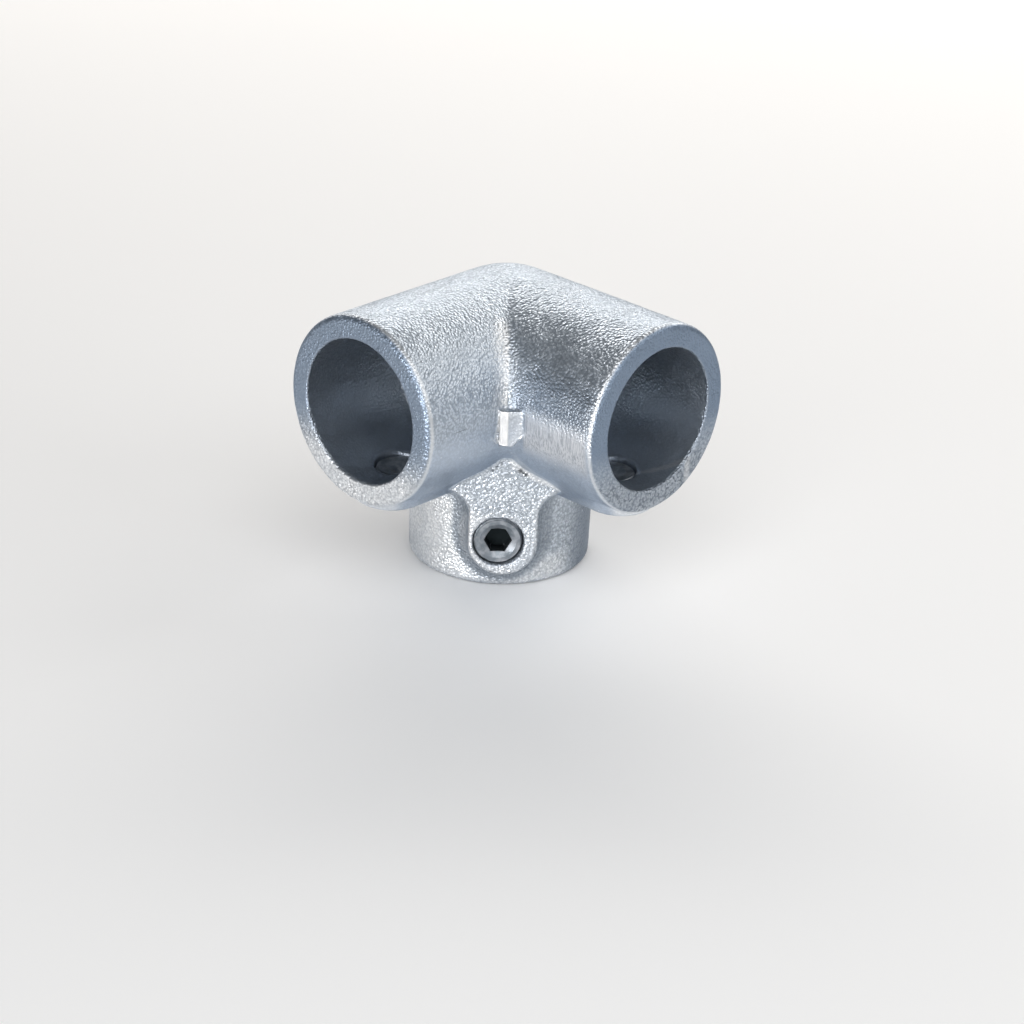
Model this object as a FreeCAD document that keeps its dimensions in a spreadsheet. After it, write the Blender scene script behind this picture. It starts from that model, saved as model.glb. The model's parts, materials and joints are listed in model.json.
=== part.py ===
"""Three-way corner connector for round tube: one galvanised iron casting and its three grub screws.

Two level rail sockets run along +X and -Y, an upright socket runs down, and their axes meet at the work
point. The origin is the centre of the upright socket's mouth, with +Z up. Sizes are in millimetres.
"""
import FreeCAD, Part
import math
import os
import Sketcher
from FreeCAD import Placement, Rotation, Vector

SIZES = (
    ("tube_diameter", 48.3, "outside diameter of the tube that a socket takes"),
    ("bore_clearance", 0.6, "gap all round between a tube and its bore"),
    ("socket_wall", 8.25, "wall of a rail socket"),
    ("upright_draft", 1.35, "taper of the upright socket from the work point to its lip, on the radius"),
    ("stop_gap", 2.25, "how far a tube's stop lies beyond the bore that it would run into"),
    ("rail_depth", 43.2, "how deep a tube goes into a rail socket"),
    ("upright_depth", 44.7, "how deep a tube goes into the upright socket"),
    ("stop_lip", 2.5, "width of the shoulder that stops a tube"),
    ("crease_fillet", 5.0, "fillet in the inside corner between the rail sockets"),
    ("mouth_round", 2.4, "rounding of a mouth's lip, cut as flats"),
    ("screw_inset", 19.9, "from a mouth to its screw's axis"),
    ("pad_margin", 3.3, "metal round a screw hole on its pad"),
    ("pad_root", 22.0, "from the work point to the centre of a pad's inner end, inside the casting"),
    ("rail_pad_height", 2.8, "how far a rail socket's pad stands off the socket"),
    ("rail_pad_lead", 4.0, "from a rail screw's axis out to the centre of its pad's round end"),
    ("rail_pad_body", 9.0, "height of a rail socket's pad with the part that is sunk in the wall"),
    ("rail_pad_spread", 3.0, "how far each side of a rail socket's pad spreads from its face to its foot"),
    ("upright_pad_height", 5.0, "how far the upright socket's pad stands off the ball corner's radius"),
    ("upright_pad_drop", 0.8, "from the upright screw's axis down to the centre of its pad's round end"),
    ("upright_pad_cove", 4.0, "fillet at the foot of the upright socket's pad"),
    ("flare_drop", 6.6, "from the rail sockets' pads down to where the upright socket's pad starts to flare"),
    ("flare_radius", 9.0, "concave round of the flare"),
    ("flare_width", 7.0, "how far the flare widens the pad on each side"),
    ("shoulder_round", 2.0, "convex round where the flare ends in the pad's wide top"),
    ("pad_chamfer", 0.9, "chamfer of a pad's rim"),
    ("gate_width", 8.0, "width of the ground gate stub in the inside corner"),
    ("gate_height", 13.0, "height of the gate stub"),
    ("gate_offset", 0.7, "sideways place of the gate stub's middle"),
    ("gate_drop", 4.3, "from the work point down to the gate stub's middle"),
    ("gate_proud", 4.3, "how far the stub's ground face stands out from the sharp inside corner"),
    ("gate_cut_width", 2.9, "width of the slanting cut at the stub's lower right corner"),
    ("gate_cut_height", 4.2, "height of that cut"),
    ("screw_diameter", 16.66, "outside diameter of a screw's thread"),
    ("thread_clearance", 0.3, "gap all round between a screw and its hole"),
    ("screw_length", 12.0, "length of a screw"),
    ("screw_chamfer", 0.6, "chamfer at both ends of a screw"),
    ("key_size", 8.0, "hexagon key size across flats"),
    ("key_depth", 6.0, "depth of the hexagon socket"),
    ("tip_clearance", 0.6, "gap from a screw's point to the bore when the screw is backed off"),
    ("upright_screw_offset", -1.6, "sideways place of the upright screw on its pad"),
)

BORE_RADIUS = "(Sizes.tube_diameter / 2 + Sizes.bore_clearance)"
RAIL_RADIUS = f"({BORE_RADIUS} + Sizes.socket_wall)"
UPRIGHT_RADIUS = f"({RAIL_RADIUS} - Sizes.upright_draft)"
STOP_DISTANCE = f"({BORE_RADIUS} + Sizes.stop_gap)"
NECK_RADIUS = f"({BORE_RADIUS} - Sizes.stop_lip)"
RAIL_REACH = f"({STOP_DISTANCE} + Sizes.rail_depth)"
UPRIGHT_REACH = f"({STOP_DISTANCE} + Sizes.upright_depth)"
RAIL_STATION = f"({RAIL_REACH} - Sizes.screw_inset)"
UPRIGHT_STATION = f"({UPRIGHT_REACH} - Sizes.screw_inset)"
RAIL_PAD_END = f"({RAIL_STATION} + Sizes.rail_pad_lead)"
UPRIGHT_PAD_END = f"({UPRIGHT_STATION} + Sizes.upright_pad_drop)"
RAIL_PAD = f"({RAIL_RADIUS} + Sizes.rail_pad_height)"
UPRIGHT_PAD = f"({RAIL_RADIUS} + Sizes.upright_pad_height)"
HOLE_RADIUS = "(Sizes.screw_diameter / 2 + Sizes.thread_clearance)"
PAD_HALF_WIDTH = f"({HOLE_RADIUS} + Sizes.pad_margin)"
PAD_TOP_HALF_WIDTH = f"({PAD_HALF_WIDTH} + Sizes.flare_width)"
FLARE_START = f"({RAIL_PAD} + Sizes.flare_drop)"
GATE_REACH = f"(sqrt(2) * {RAIL_RADIUS} + Sizes.gate_proud)"
SCREW_FACE = f"({BORE_RADIUS} + Sizes.tip_clearance + Sizes.screw_length)"

DOWN = Vector(0, 0, -1)
CORNER = Vector(1, -1, 0).normalize()
ACROSS = Vector(1, 1, 0).normalize()
FACING_CORNER = Placement(Vector(), Rotation(Vector(0, 1, 0), 45))
LIP_FLATS = 2
CHAMFER_SHARE = 0.3  # the most of a pad's height that its chamfer takes
COVE_SHARE = 0.6  # the most of the room below the upright socket's pad that its cove takes
SMOOTH_DEGREES = 8.0
PROBE_STEP = 0.05

# Each socket: its section's plane, the axis that the section turns round, its reach, and where a point
# that lies so far along the socket's axis and so far out from it goes in that plane.
SOCKETS = {
    "right": ("XZ_Plane", "H_Axis", RAIL_REACH, lambda along, out: (along, out)),
    "left": ("YZ_Plane", "H_Axis", RAIL_REACH, lambda along, out: (f"-{along}", out)),
    "upright": ("XZ_Plane", "V_Axis", UPRIGHT_REACH, lambda along, out: (out, f"-{along}")),
}

doc = FreeCAD.newDocument("corner_connector")
sheet = doc.addObject("Spreadsheet::Sheet", "Sizes")
for row, (alias, number, note) in enumerate(SIZES, start=1):
    sheet.set(f"A{row}", note)
    sheet.set(f"B{row}", str(number))
    sheet.setAlias(f"B{row}", alias)
doc.recompute()


def measure(expression):
    """The value of a size or of an expression in sizes."""
    return float(sheet.evalExpression(expression))


def new_body(label):
    body = doc.addObject("PartDesign::Body", label)
    body.Label = label
    return body


def attach(item, body, role, offset=Placement()):
    """Put a sketch or a primitive on one of its body's origin planes."""
    plane = next(part for part in body.Origin.OriginFeatures if part.Role == role)
    item.AttachmentSupport = [(plane, "")]
    item.MapMode = "FlatFace"
    item.AttachmentOffset = offset


def ball(body, kind, name, radius):
    """Add or subtract a ball about the work point."""
    shape = body.newObject(f"PartDesign::{kind}", name)
    attach(shape, body, "XY_Plane")
    shape.setExpression("Radius", radius)
    doc.recompute()


def drive(sketch, expression, *constraint):
    """Add a constraint whose value is an expression in sizes."""
    index = sketch.addConstraint(Sketcher.Constraint(*constraint, measure(expression)))
    sketch.setExpression(f"Constraints[{index}]", expression)


def set_point(sketch, geometry, end, x, y):
    """Tie a point of the sketch to its two coordinates, given as expressions."""
    drive(sketch, x, "DistanceX", -1, 1, geometry, end)
    drive(sketch, y, "DistanceY", -1, 1, geometry, end)


def add_arc(sketch, x, y, radius, first, last):
    """An arc about a centre, counter-clockwise from the first angle to the last."""
    circle = Part.Circle(Vector(x, y, 0), Vector(0, 0, 1), radius)
    return sketch.addGeometry(Part.ArcOfCircle(circle, first, last))


def outline(body, name, role, corners, offset=Placement()):
    """A closed outline of straight lines through corners given as pairs of expressions."""
    sketch = body.newObject("Sketcher::SketchObject", name)
    attach(sketch, body, role, offset)
    points = [Vector(measure(x), measure(y), 0) for x, y in corners]
    for start, end in zip(points, points[1:] + points[:1]):
        sketch.addGeometry(Part.LineSegment(start, end))
    for line in range(len(points)):
        sketch.addConstraint(Sketcher.Constraint("Coincident", line, 2, (line + 1) % len(points), 1))
    for line, (x, y) in enumerate(corners):
        set_point(sketch, line, 1, x, y)
    doc.recompute()
    return sketch


def slot_outline(body, name, role, centres, radius):
    """A slot: two half circles about the near and far centres, joined by two straight sides."""
    sketch = body.newObject("Sketcher::SketchObject", name)
    attach(sketch, body, role)
    near, far = (Vector(measure(x), measure(y), 0) for x, y in centres)
    size = measure(radius)
    heading = math.atan2(far.y - near.y, far.x - near.x)
    side = Vector(-math.sin(heading), math.cos(heading), 0) * size
    quarter = math.pi / 2
    for centre, middle in ((far, heading), (near, heading + math.pi)):
        add_arc(sketch, centre.x, centre.y, size, middle - quarter, middle + quarter)
    sketch.addGeometry(Part.LineSegment(far + side, near + side))
    sketch.addGeometry(Part.LineSegment(near - side, far - side))
    for first, second in ((0, 2), (2, 1), (1, 3), (3, 0)):
        sketch.addConstraint(Sketcher.Constraint("Tangent", first, 2, second, 1))
    sketch.addConstraint(Sketcher.Constraint("Equal", 0, 1))
    drive(sketch, radius, "Radius", 0)
    for arc, (x, y) in zip((1, 0), centres):
        set_point(sketch, arc, 3, x, y)
    doc.recompute()
    return sketch


def shield_outline(body, name):
    """The upright pad's outline, facing out of the corner: a round end below, straight sides that flare into
    shoulders, and a wide round top that lies inside the casting."""
    sketch = body.newObject("Sketcher::SketchObject", name)
    attach(sketch, body, "XZ_Plane", FACING_CORNER)
    half, top_half = measure(PAD_HALF_WIDTH), measure(PAD_TOP_HALF_WIDTH)
    flare, shoulder = measure("Sizes.flare_radius"), measure("Sizes.shoulder_round")
    start, end, root = measure(FLARE_START), measure(UPRIGHT_PAD_END), measure("Sizes.pad_root")
    turned = math.acos(1 - (top_half - half) / (flare + shoulder))
    shoulder_level = (flare + shoulder) * math.sin(turned) - start
    bottom = add_arc(sketch, 0, -end, half, math.pi, 2 * math.pi)
    top = add_arc(sketch, 0, -root, top_half, 0, math.pi)
    drive(sketch, PAD_HALF_WIDTH, "Radius", bottom)
    drive(sketch, PAD_TOP_HALF_WIDTH, "Radius", top)
    set_point(sketch, bottom, 3, "0", f"-{UPRIGHT_PAD_END}")
    set_point(sketch, top, 3, "0", "-Sizes.pad_root")
    for side, first, last in ((1, 1, 2), (-1, 2, 1)):
        flare_from, bend_from = (math.pi - turned, -turned) if side > 0 else (0, math.pi)
        low = sketch.addGeometry(Part.LineSegment(Vector(side * half, -end), Vector(side * half, -start)))
        hollow = add_arc(sketch, side * (half + flare), -start, flare, flare_from, flare_from + turned)
        bend_centre = side * (top_half - shoulder)
        bend = add_arc(sketch, bend_centre, shoulder_level, shoulder, bend_from, bend_from + turned)
        wide = side * top_half
        high = sketch.addGeometry(Part.LineSegment(Vector(wide, shoulder_level), Vector(wide, -root)))
        for one, one_end, other, other_end in (
            (bottom, last, low, 1),
            (low, 2, hollow, last),
            (hollow, first, bend, first),
            (bend, last, high, 1),
            (high, 2, top, first),
        ):
            sketch.addConstraint(Sketcher.Constraint("Tangent", one, one_end, other, other_end))
        for line in (low, high):
            sketch.addConstraint(Sketcher.Constraint("Vertical", line))
        drive(sketch, "Sizes.flare_radius", "Radius", hollow)
        drive(sketch, "Sizes.shoulder_round", "Radius", bend)
        drive(sketch, f"-{FLARE_START}", "DistanceY", -1, 1, low, 2)
    doc.recompute()
    return sketch


def extrude(body, kind, name, sketch, length, reverse=False, taper=None):
    """Pad or Pocket a sketch by a length given as an expression. A taper, if given, spreads its sides."""
    feature = body.newObject(f"PartDesign::{kind}", name)
    feature.Profile = sketch
    feature.Reversed = reverse
    feature.setExpression("Length", length)
    if taper:
        feature.setExpression("TaperAngle", taper)
    doc.recompute()
    return feature


def turn(body, kind, name, sketch, axis):
    """Revolution or Groove of a sketch round one of its own axes."""
    feature = body.newObject(f"PartDesign::{kind}", name)
    feature.Profile = sketch
    feature.ReferenceAxis = (sketch, [axis])
    feature.Angle = 360
    doc.recompute()
    return feature


def lies_on(edge, normal, distance):
    """True for an edge in the plane at that distance from the origin."""
    first, last = edge.ParameterRange
    points = (edge.valueAt(first), edge.valueAt((first + last) / 2), edge.valueAt(last))
    return all(abs(point.dot(normal) - distance) < 1e-6 for point in points)


def is_inside_corner(shape, edge):
    """True where two faces meet in a concave corner that isn't smooth."""
    faces = shape.ancestorsOfType(edge, Part.Face)
    if len(faces) != 2:
        return False
    first, last = edge.ParameterRange
    middle = (first + last) / 2
    point = edge.valueAt(middle)
    normals = [face.normalAt(*face.Surface.parameter(point)) for face in faces]
    if math.degrees(normals[0].getAngle(normals[1])) < SMOOTH_DEGREES:
        return False
    inward = edge.tangentAt(middle).cross(normals[0]).normalize()
    if faces[0].distToShape(Part.Vertex(point + inward * PROBE_STEP))[0] > PROBE_STEP / 2:
        inward = -inward
    return inward.dot(normals[1]) > 0


def dress(body, kind, name, test, size):
    """Fillet or Chamfer the edges of the body so far that pass the test."""
    base = body.Tip
    edges = enumerate(base.Shape.Edges, start=1)
    chosen = [f"Edge{index}" for index, edge in edges if not edge.Degenerated and test(base.Shape, edge)]
    feature = body.newObject(f"PartDesign::{kind}", name)
    feature.Base = (base, chosen)
    feature.setExpression("Radius" if kind == "Fillet" else "Size", size)
    doc.recompute()
    return feature


def turn_socket(body, kind, name, side, section):
    """Turn a section, given as places along a socket's axis and out from it, round that axis."""
    role, axis, _, place = SOCKETS[side]
    sketch = outline(body, f"{name}_section", role, [place(along, out) for along, out in section])
    turn(body, kind, name, sketch, axis)


def skin_section(side, mouth_radius):
    """Half section of a socket's outside, from the work point to its mouth, with the lip's round as flats."""
    reach = SOCKETS[side][2]
    lip = f"min(Sizes.mouth_round; ({mouth_radius} - {BORE_RADIUS}) / 2)"
    angles = [90 * flat / LIP_FLATS for flat in range(LIP_FLATS + 1)]
    lip_points = [
        (f"({reach} - {lip} * (1 - sin({angle})))", f"({mouth_radius} - {lip} * (1 - cos({angle})))")
        for angle in angles
    ]
    return [("0", "0"), ("0", RAIL_RADIUS)] + lip_points + [(reach, "0")]


def bore_section(side):
    """Half section of a socket's inside: the neck from the work point to the stop, then the bore."""
    reach = SOCKETS[side][2]
    neck = [("0", "0"), ("0", NECK_RADIUS), (STOP_DISTANCE, NECK_RADIUS)]
    return neck + [(STOP_DISTANCE, BORE_RADIUS), (reach, BORE_RADIUS), (reach, "0")]


# The rail sockets: two round sockets that meet in a ball at the work point, with a fillet in the inside
# corner, and under each a screw pad with a round end and sloping sides.
rails = new_body("rail_sockets")
ball(rails, "AdditiveSphere", "ball_corner", RAIL_RADIUS)
for side in ("right", "left"):
    turn_socket(rails, "Revolution", f"{side}_socket", side, skin_section(side, RAIL_RADIUS))
dress(rails, "Fillet", "inside_corner", is_inside_corner, "Sizes.crease_fillet")
right_slot = (("Sizes.pad_root", "0"), (RAIL_PAD_END, "0"))
left_slot = (("0", "-Sizes.pad_root"), ("0", f"-{RAIL_PAD_END}"))
pad_room = f"Sizes.screw_inset - Sizes.rail_pad_lead - {PAD_HALF_WIDTH} - Sizes.pad_chamfer"
pad_slope = f"atan(min(Sizes.rail_pad_spread; {pad_room}) / Sizes.rail_pad_body)"
for side, slot in (("right", right_slot), ("left", left_slot)):
    pad_outline = slot_outline(rails, f"{side}_pad_outline", "XY_Plane", slot, PAD_HALF_WIDTH)
    pad_outline.setExpression("AttachmentOffset.Base.z", f"-{RAIL_PAD}")
    extrude(rails, "Pad", f"{side}_pad", pad_outline, "Sizes.rail_pad_body", taper=pad_slope)
dress(
    rails,
    "Chamfer",
    "pad_rims",
    lambda shape, edge: lies_on(edge, DOWN, measure(RAIL_PAD)),
    f"min(Sizes.pad_chamfer; {CHAMFER_SHARE} * Sizes.rail_pad_height)",
)

# The upright socket tapers down from the ball corner, with its screw pad facing out of the inside corner.
# The pad's shoulders flare into the rail sockets' pads.
upright = new_body("upright_socket")
turn_socket(upright, "Revolution", "tapered_socket", "upright", skin_section("upright", UPRIGHT_RADIUS))
pad_outline = shield_outline(upright, "upright_pad_outline")
extrude(upright, "Pad", "upright_pad", pad_outline, UPRIGHT_PAD)
cove_room = f"(Sizes.screw_inset - Sizes.upright_pad_drop - {PAD_HALF_WIDTH})"
dress(
    upright,
    "Fillet",
    "pad_foot",
    is_inside_corner,
    f"min(Sizes.upright_pad_cove; {COVE_SHARE} * {cove_room})",
)
dress(
    upright,
    "Chamfer",
    "pad_rim",
    lambda shape, edge: lies_on(edge, CORNER, measure(UPRIGHT_PAD)),
    f"min(Sizes.pad_chamfer; {CHAMFER_SHARE} * Sizes.upright_pad_height)",
)
skin = doc.addObject("Part::MultiFuse", "casting_skin")
skin.Shapes = [rails, upright]
skin.Refine = True
doc.recompute()

# The casting: the joined skin with its gate stub, the three bores with their stops, the cored ball in the
# middle and the three screw holes.
casting = new_body("corner_casting")
casting.BaseFeature = skin
doc.recompute()
gate_top = "(-Sizes.gate_drop + Sizes.gate_height / 2)"
gate_bottom = "(-Sizes.gate_drop - Sizes.gate_height / 2)"
gate_left = "(Sizes.gate_offset - Sizes.gate_width / 2)"
gate_right = "(Sizes.gate_offset + Sizes.gate_width / 2)"
gate_outline = outline(
    casting,
    "gate_outline",
    "XZ_Plane",
    (
        (gate_left, gate_top),
        (gate_left, gate_bottom),
        (f"({gate_right} - Sizes.gate_cut_width)", gate_bottom),
        (gate_right, f"({gate_bottom} + Sizes.gate_cut_height)"),
        (gate_right, gate_top),
    ),
    FACING_CORNER,
)
extrude(casting, "Pad", "gate_stub", gate_outline, GATE_REACH)
for side in SOCKETS:
    turn_socket(casting, "Groove", f"{side}_bore", side, bore_section(side))
ball(casting, "SubtractiveSphere", "core", NECK_RADIUS)


def screw_hole(name, role, x, y, length, offset=Placement(), reverse=False):
    """A plain hole for a screw, from a socket's axis out through its pad."""
    sketch = casting.newObject("Sketcher::SketchObject", f"{name}_outline")
    attach(sketch, casting, role, offset)
    centre = Vector(measure(x), measure(y), 0)
    circle = sketch.addGeometry(Part.Circle(centre, Vector(0, 0, 1), measure(HOLE_RADIUS)))
    drive(sketch, HOLE_RADIUS, "Radius", circle)
    set_point(sketch, circle, 3, x, y)
    extrude(casting, "Pocket", name, sketch, f"{length} + {HOLE_RADIUS}", reverse)


screw_hole("right_screw_hole", "XY_Plane", RAIL_STATION, "0", RAIL_PAD)
screw_hole("left_screw_hole", "XY_Plane", "0", f"-{RAIL_STATION}", RAIL_PAD)
screw_hole(
    "upright_screw_hole",
    "XZ_Plane",
    "Sizes.upright_screw_offset",
    f"-{UPRIGHT_STATION}",
    UPRIGHT_PAD,
    FACING_CORNER,
    reverse=True,
)
casting.setExpression("Placement.Base.z", UPRIGHT_REACH)


def set_screw(label, rotation, place):
    """A grub screw with a hexagon socket and a flat point. Its own +Z points out of the casting."""
    body = new_body(label)
    radius = "(Sizes.screw_diameter / 2)"
    key_radius = "(Sizes.key_size / 2)"
    end_radius = f"({radius} - Sizes.screw_chamfer)"
    section = outline(
        body,
        f"{label}_section",
        "XZ_Plane",
        (
            ("0", "0"),
            (end_radius, "0"),
            (radius, "-Sizes.screw_chamfer"),
            (radius, "(Sizes.screw_chamfer - Sizes.screw_length)"),
            (end_radius, "-Sizes.screw_length"),
            ("0", "-Sizes.screw_length"),
        ),
    )
    turn(body, "Revolution", f"{label}_blank", section, "V_Axis")
    corner = "(Sizes.key_size / sqrt(3))"
    hexagon = outline(
        body,
        f"{label}_key_outline",
        "XY_Plane",
        (
            (corner, "0"),
            (f"({corner} / 2)", key_radius),
            (f"(-{corner} / 2)", key_radius),
            (f"-{corner}", "0"),
            (f"(-{corner} / 2)", f"-{key_radius}"),
            (f"({corner} / 2)", f"-{key_radius}"),
        ),
    )
    extrude(body, "Pocket", f"{label}_key_socket", hexagon, "Sizes.key_depth")
    body.Placement = Placement(Vector(), rotation)
    for axis, expression in place.items():
        body.setExpression(f"Placement.Base.{axis}", expression)
    return body


rail_screw_level = f"{UPRIGHT_REACH} - {SCREW_FACE}"
facing_down = Rotation(Vector(1, 0, 0), 180)
facing_corner = Rotation(ACROSS, Vector(0, 0, 1), CORNER, "XYZ")
parts = [
    casting,
    set_screw("right_rail_set_screw", facing_down, {"x": RAIL_STATION, "z": rail_screw_level}),
    set_screw("left_rail_set_screw", facing_down, {"y": f"-{RAIL_STATION}", "z": rail_screw_level}),
    set_screw(
        "upright_set_screw",
        facing_corner,
        {
            "x": f"({SCREW_FACE} + Sizes.upright_screw_offset) / sqrt(2)",
            "y": f"(Sizes.upright_screw_offset - {SCREW_FACE}) / sqrt(2)",
            "z": "Sizes.screw_inset",
        },
    ),
]
doc.recompute()

failed = [item.Label for item in doc.Objects if "Invalid" in item.State or "Error" in item.State]
for part in parts:
    if part.Shape.isNull() or not part.Shape.isValid() or len(part.Shape.Solids) != 1:
        failed.append(part.Label)
if failed:
    raise RuntimeError("failed: " + ", ".join(failed))
os.makedirs("parts", exist_ok=True)
for part in parts:
    part.Shape.exportStep(f"parts/{part.Label}.step")
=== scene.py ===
import json
from math import pi, radians, sqrt

import bmesh
import bpy
import numpy as np
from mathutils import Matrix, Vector


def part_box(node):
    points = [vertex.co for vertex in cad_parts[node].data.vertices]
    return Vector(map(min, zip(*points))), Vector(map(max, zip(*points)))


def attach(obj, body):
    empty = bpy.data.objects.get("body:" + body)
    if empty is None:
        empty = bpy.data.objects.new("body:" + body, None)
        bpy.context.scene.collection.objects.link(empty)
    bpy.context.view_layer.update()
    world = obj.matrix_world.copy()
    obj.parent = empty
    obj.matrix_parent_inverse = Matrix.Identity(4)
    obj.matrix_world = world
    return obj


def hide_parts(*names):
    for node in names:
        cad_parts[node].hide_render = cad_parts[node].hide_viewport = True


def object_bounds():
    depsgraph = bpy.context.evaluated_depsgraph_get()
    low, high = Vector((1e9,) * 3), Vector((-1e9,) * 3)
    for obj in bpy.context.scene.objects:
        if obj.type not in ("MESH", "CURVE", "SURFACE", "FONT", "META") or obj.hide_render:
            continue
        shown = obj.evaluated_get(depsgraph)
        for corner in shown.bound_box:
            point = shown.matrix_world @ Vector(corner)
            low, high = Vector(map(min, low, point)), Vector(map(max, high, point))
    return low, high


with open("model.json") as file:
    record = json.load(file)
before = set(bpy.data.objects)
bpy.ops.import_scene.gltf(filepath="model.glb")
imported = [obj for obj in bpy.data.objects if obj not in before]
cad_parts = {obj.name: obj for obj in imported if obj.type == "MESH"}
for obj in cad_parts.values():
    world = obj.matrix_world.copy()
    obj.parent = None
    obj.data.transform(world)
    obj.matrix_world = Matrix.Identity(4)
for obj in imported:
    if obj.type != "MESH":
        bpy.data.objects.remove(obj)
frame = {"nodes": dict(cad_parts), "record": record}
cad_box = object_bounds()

# The casting: one piece of malleable iron, poured in sand and hot-dip galvanised. Three round sockets meet
# in a ball corner, each with a raised pad for its screw, and the gate's stub is ground off on the crease.
# Its skin is an even net over the solid, drawn onto a formula that has the rounds that sand and zinc leave.
MM = 0.001
mounts = {mount["name"]: mount for mount in frame["record"]["mounts"]}
work_point = np.array(mounts["right_rail_socket"]["pos_m"]) * (0, 0, 1)
rail_reach = mounts["right_rail_socket"]["pos_m"][0] / MM
upright_reach = work_point[2] / MM
bore_radius = mounts["upright_socket"]["dims"]["r_mm"]
stop_place = rail_reach - mounts["right_rail_socket"]["dims"]["length_mm"]
socket_radius = 33.0
upright_draft = 1.35
neck_radius = 22.25
crease_round = 5.0
foot_round = 3.0
lip_round = 2.4
bore_rim = 0.8
rail_station = 50.3
rail_pad_root, rail_pad_end = 22.0, 54.3
rail_pad_face, rail_pad_top = 35.8, 26.8
rail_pad_slope = 1 / 3
rail_pad_rim = 1.6
rail_pad_cove = 4.0
rail_pad_seam = 0.8
rail_seam_start, rail_seam_full = 56.0, 64.0
pad_half_width = 11.93
upright_pad_face = 38.0
upright_pad_end = 52.6
upright_pad_half_top = 18.93
upright_pad_flare = 9.0
upright_pad_shoulder = 33.4
upright_pad_rim = 1.0
upright_pad_cove = 4.8
upright_pad_seam = 1.2
upright_cove_start, upright_cove_full = 33.0, 41.0
upright_pad_top = 10.0
shoulder_round = 2.0
hole_radius = 8.63
hole_rim = 0.5
upright_hole_side = -1.6
upright_hole_down = 51.8
gate_face = 50.97
gate_left, gate_right = -3.3, 4.7
gate_middle = (gate_left + gate_right) / 2
gate_top, gate_foot = -2.2, 10.8
gate_cut_width, gate_cut_height = 2.9, 4.2
gate_tilt = radians(10)
gate_tilt_width = 2.9
gate_edge = 0.3
gate_seam = 0.5
foot_burr = ((-5.4, 7.4), (-3.7, 10.4), (0.4, 10.9))
break_burr = ((1.9, 10.9), (4.6, 6.7))
burr_plane = 50.75
burr_radius = 0.38
burr_seam = 0.15
soil_spots = (
    (5.0, 25.0, 1.0), (6.0, 25.9, 0.8), (7.0, 26.5, 0.9),
    (-4.2, 25.3, 0.6), (-2.9, 23.8, 0.6), (-1.6, 22.7, 0.5),
)
net_size = 1.25 * MM
fine_lip, fine_low_lip, low_lip_down = 3.4, 7.0, 24.0
fine_pad_out, fine_pad_half, fine_pad_top = 26.0, 21.0, 6.0
fine_gate_out, fine_gate_half, fine_gate_margin = 40.0, 6.5, 2.0
ripple_size = 6.0 * MM
ripple_height = 0.09 * MM
recess_probe = 4.0 * MM
edge_probe = 3.2 * MM


def rounded_union(one, other, radius):
    """The nearer of two distances, with the inside corner where they meet filled to the radius."""
    reach = np.hypot(np.maximum(radius - one, 0), np.maximum(radius - other, 0))
    return np.maximum(radius, np.minimum(one, other)) - reach


def rounded_overlap(one, other, radius):
    """The farther of two distances, with the outside edge where they meet rounded to the radius."""
    reach = np.hypot(np.maximum(radius + one, 0), np.maximum(radius + other, 0))
    return np.minimum(-radius, np.maximum(one, other)) + reach


def fade(value, low, high):
    """A smooth step: 0 at low, 1 at high, with a level start and end."""
    share = np.clip((value - low) / (high - low), 0, 1)
    return share * share * (3 - 2 * share)


def band(value, start, full, still, gone):
    """A smooth band: 0 up to start, 1 from full to still, and 0 again from gone on."""
    return fade(value, start, full) * (1 - fade(value, still, gone))


def unit(*parts):
    """Unit vectors from three arrays of parts."""
    vector = np.stack(parts)
    return vector / np.maximum(np.sqrt((vector * vector).sum(axis=0)), 1e-9)


def corner_share(one, other):
    """How much of a corner two surfaces make where they meet: 0 where they are level, 1 at a right angle."""
    facing = np.clip((one * other).sum(axis=0), 0, 1)
    return (1 - np.sqrt((1 + facing) / 2)) / (1 - sqrt(0.5))


def socket_distance(along, out, radius, reach):
    """A round bar from the work point to its mouth with a round lip, and a ball behind the work point."""
    bar = rounded_overlap(out - radius, along - reach, lip_round)
    return np.where(along > 0, bar, np.hypot(along, out) - socket_radius)


def rail_pad_distance(along, side, down):
    """A slot outline that widens upwards at the draft, ended by the pad's face with a round rim."""
    half_width = pad_half_width + (rail_pad_face - down) * rail_pad_slope
    wall = np.hypot(along - np.clip(along, rail_pad_root, rail_pad_end), side) - half_width
    pad = rounded_overlap(wall / sqrt(1 + rail_pad_slope ** 2), down - rail_pad_face, rail_pad_rim)
    return np.maximum(pad, rail_pad_top - down)


def shield_distance(across, down):
    """Outline of the upright's pad: a round-ended bar that flares into a wide top with round shoulders."""
    bar = np.hypot(across, np.maximum(down - upright_pad_end, 0)) - pad_half_width
    shield = rounded_union(bar, down - upright_pad_shoulder, upright_pad_flare)
    return rounded_overlap(shield, np.abs(across) - upright_pad_half_top, shoulder_round)


def upright_pad_distance(across, down, out):
    """The shield outline, as deep as the pad's face, with a round rim."""
    pad = rounded_overlap(shield_distance(across, down), out - upright_pad_face, upright_pad_rim)
    return np.maximum(pad, np.maximum(upright_pad_top - down, -out))


def gate_distance(across, down, out):
    """A block ground flat, its left third ground again at a slant and its lower right corner broken off."""
    slant = np.maximum(gate_left + gate_tilt_width - across, 0)
    face = out - gate_face + slant * np.tan(gate_tilt)
    sides = np.maximum(gate_left - across, across - gate_right)
    ends = np.maximum(gate_top - down, down - gate_foot)
    break_across = (across - gate_right) * gate_cut_height
    break_down = (down - gate_foot + gate_cut_height) * gate_cut_width
    broken = (break_across + break_down) / np.hypot(gate_cut_width, gate_cut_height)
    block = rounded_overlap(np.maximum(sides, ends), broken, gate_edge)
    return np.maximum(rounded_overlap(block, face, gate_edge), -out)


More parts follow.
